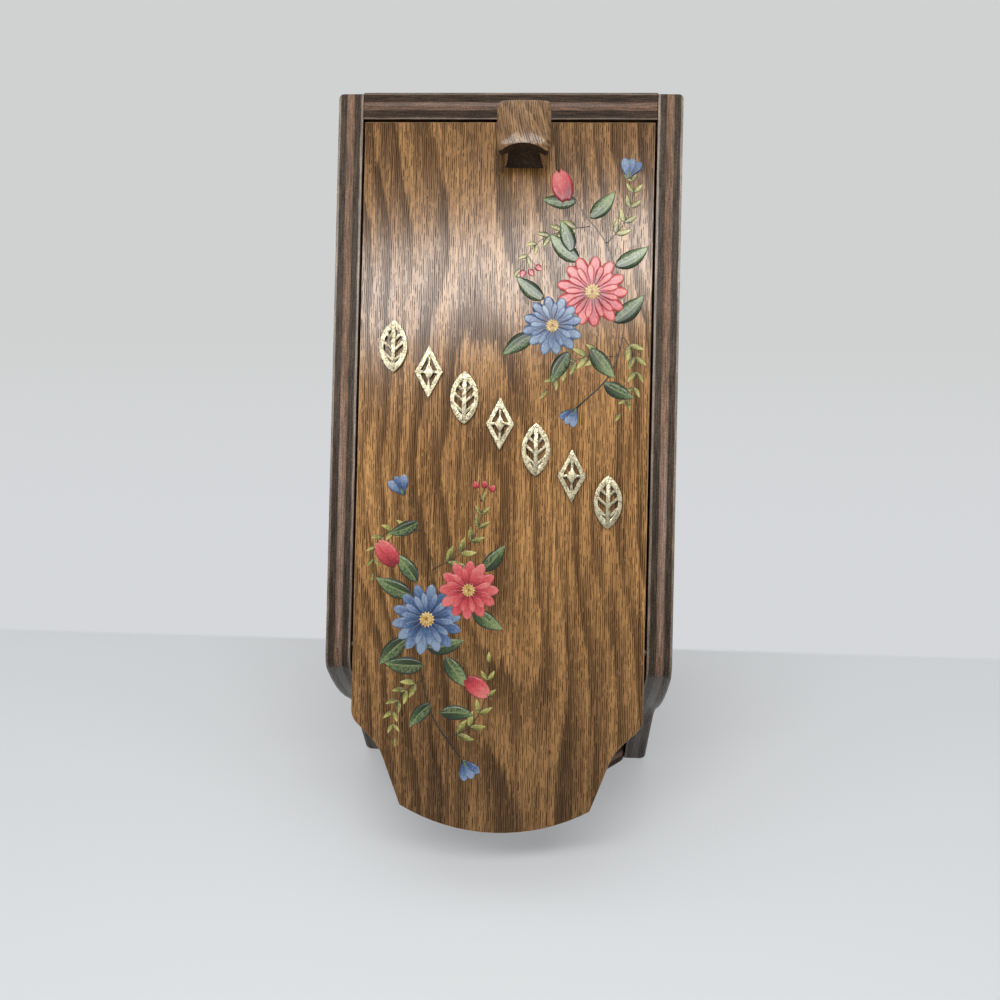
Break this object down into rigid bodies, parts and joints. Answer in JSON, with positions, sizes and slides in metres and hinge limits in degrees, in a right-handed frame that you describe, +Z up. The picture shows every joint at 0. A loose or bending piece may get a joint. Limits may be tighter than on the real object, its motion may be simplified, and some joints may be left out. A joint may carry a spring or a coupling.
{
  "type": "recipe card box",
  "caption": "Upright wooden box for recipe cards with a sloping front, whose inset lid tilts forward on pins; knob, brass ornaments, ogee feet.",
  "frame": {"origin": "on the floor, under the middle of the whole box", "axes": "+Z up, +Y towards the back of the box, +X to the right of someone facing its front"},
  "size_m": [0.16, 0.2046, 0.35],
  "materials": {
    "case_oak": "dark stained oak plywood, satin varnish, worn edges",
    "inside_oak": "stained oak plywood, thin varnish",
    "lid_oak": "brown stained oak with open grain, gloss varnish",
    "knob_oak": "brown stained oak, satin varnish",
    "brass": "pale cast brass, tarnished in the hollows",
    "steel": "plain bright steel, slightly dulled"
  },
  "bodies": {
    "case": {"side_left": "case_oak", "side_right": "case_oak", "top_board": "case_oak", "back_board": "inside_oak", "shelf_board": "inside_oak", "base_board": "case_oak", "lid_stop": "inside_oak", "pivot_pin_left": "steel", "pivot_pin_right": "steel", "brads_top": "steel", "brads_shelf": "steel", "brads_base": "steel", "brads_back": "steel"},
    "lid": {"lid_panel": "lid_oak", "knob": "knob_oak", "knob_screw": "steel", "brass_ornament_1": "brass", "brass_ornament_2": "brass", "brass_ornament_3": "brass", "brass_ornament_4": "brass", "brass_ornament_5": "brass", "brass_ornament_6": "brass", "brass_ornament_7": "brass"}
  },
  "joints": [
    {"name": "lid_tilt", "type": "hinge", "parent": "case", "child": "lid", "pos_m": [0, -0.06376, 0.11237], "axis": [1, 0, 0], "range_deg": [0, 55]}
  ]
}
